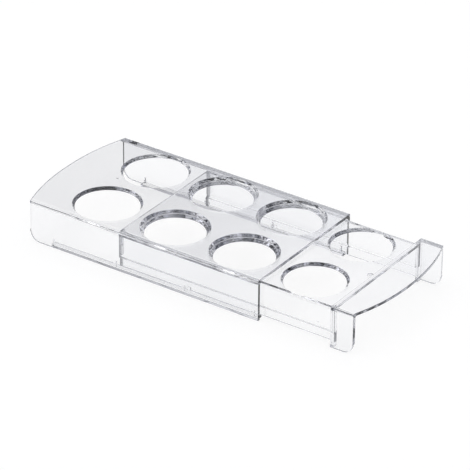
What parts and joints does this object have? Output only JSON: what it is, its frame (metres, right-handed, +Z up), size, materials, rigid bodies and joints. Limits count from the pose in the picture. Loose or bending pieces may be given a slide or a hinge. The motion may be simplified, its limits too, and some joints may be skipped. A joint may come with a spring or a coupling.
{
  "type": "sliding egg holder tray",
  "caption": "Clear telescoping egg holder tray for a refrigerator: an inner tray slides out of an outer tray, both with tapered round egg seats.",
  "frame": {"origin": "middle of the footprint at rest, on the shelf plane under the side walls", "axes": "+X is the direction the inner tray pulls out, +Y goes across the tray, +Z is up"},
  "size_m": [0.2536, 0.1, 0.028],
  "materials": {
    "clear_outer": "clear, polished",
    "clear_inner": "clear, polished"
  },
  "bodies": {
    "outer": {"outer_tray": "clear_outer"},
    "inner": {"inner_tray": "clear_inner"}
  },
  "joints": [
    {"name": "tray_slide", "type": "slide", "parent": "outer", "child": "inner", "axis": [1, 0, 0], "range_m": [-0.051, 0.102]}
  ]
}
